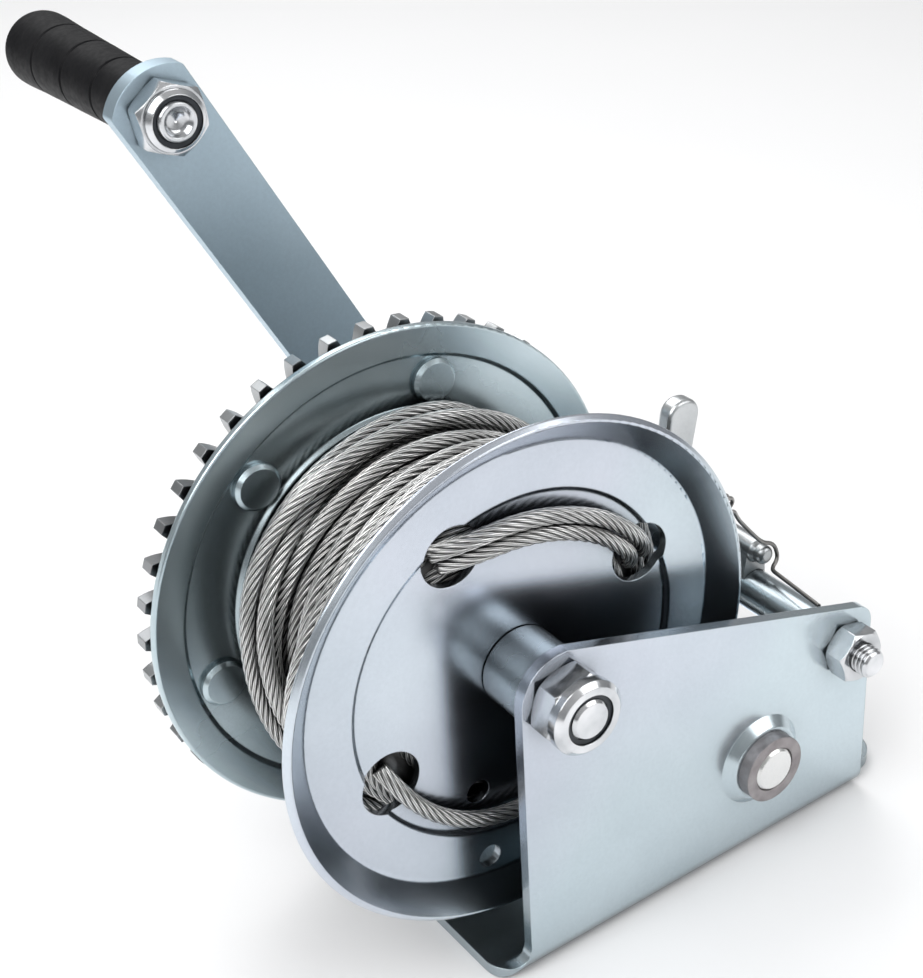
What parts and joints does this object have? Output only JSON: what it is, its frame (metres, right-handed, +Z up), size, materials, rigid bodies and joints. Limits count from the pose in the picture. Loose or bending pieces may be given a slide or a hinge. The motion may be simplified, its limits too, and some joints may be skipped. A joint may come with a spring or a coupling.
{
  "type": "boat trailer winch",
  "caption": "Hand-cranked drum winch: geared rope drum in a bent sheet channel with a cranked arm, free-turning grip and ratchet pawl.",
  "frame": {"origin": "on the underside of the base, straight below the drum axle and midway between the side plates", "axes": "+X along the side plates from the drum to the tie rod, +Y across the winch to the gear and crank side, +Z up from the base"},
  "size_m": [0.1746, 0.1939, 0.1963],
  "materials": {
    "zinc_sheet": "bright zinc plate, satin",
    "dark_zinc_sheet": "blue-grey zinc plate",
    "gear_steel": "zinc plate over stamped and cut steel",
    "zinc_fastener": "bright zinc plate",
    "zinc_tube": "zinc plate, satin",
    "bright_shaft": "turned steel",
    "blue_zinc_bar": "blue zinc plate, satin",
    "zinc_pawl": "zinc plate, satin",
    "spring_wire": "drawn wire",
    "sintered_bronze": "sintered, oiled",
    "nylon": "matte",
    "wire_rope": "galvanised stranded wire",
    "grip_rubber": "satin"
  },
  "bodies": {
    "frame": {"frame_channel": "zinc_sheet", "drum_axle_bolt": "zinc_fastener", "drum_axle_lock_nut": "zinc_fastener", "drum_axle_nylon_ring": "nylon", "near_axle_spacer": "zinc_tube", "far_axle_spacer": "zinc_tube", "near_shaft_bush": "sintered_bronze", "far_shaft_bush": "sintered_bronze", "tie_rod_tube": "zinc_tube", "tie_rod_bolt": "zinc_fastener", "tie_rod_nut": "zinc_fastener"},
    "drum": {"near_flange": "zinc_sheet", "far_flange": "dark_zinc_sheet", "drum_barrel": "zinc_tube", "drive_gear": "gear_steel", "gear_rivets": "dark_zinc_sheet", "near_drum_bush": "sintered_bronze", "far_drum_bush": "sintered_bronze", "wound_rope": "wire_rope", "rope_loop_upper": "wire_rope", "rope_loop_lower": "wire_rope"},
    "crank": {"crank_shaft": "bright_shaft", "pinion_gear": "gear_steel", "ratchet_wheel": "gear_steel", "crank_arm": "blue_zinc_bar", "crank_arm_washer": "zinc_fastener", "crank_arm_lock_nut": "zinc_fastener", "crank_arm_nylon_ring": "nylon", "grip_bolt": "zinc_fastener", "grip_lock_nut": "zinc_fastener", "grip_nylon_ring": "nylon"},
    "grip": {"hand_grip": "grip_rubber"},
    "pawl": {"pawl": "zinc_pawl", "pawl_spring": "spring_wire"}
  },
  "joints": [
    {"name": "drum_spin", "type": "hinge", "parent": "frame", "child": "drum", "pos_m": [0, 0, 0.075], "axis": [0, 1, 0], "continuous": true},
    {"name": "crank_spin", "type": "hinge", "parent": "frame", "child": "crank", "pos_m": [0.06028, 0, 0.0279], "axis": [0, 1, 0], "continuous": true},
    {"name": "grip_spin", "type": "hinge", "parent": "crank", "child": "grip", "pos_m": [-0.02478, 0.107, 0.18483], "axis": [0, 1, 0], "continuous": true},
    {"name": "pawl_pivot", "type": "hinge", "parent": "frame", "child": "pawl", "pos_m": [0.0887, 0, 0.0495], "axis": [0, 1, 0], "range_deg": [0, 18]}
  ],
  "couplings": [
    {"joint": "crank_spin", "follows": "drum_spin", "ratio": -4.6667}
  ]
}
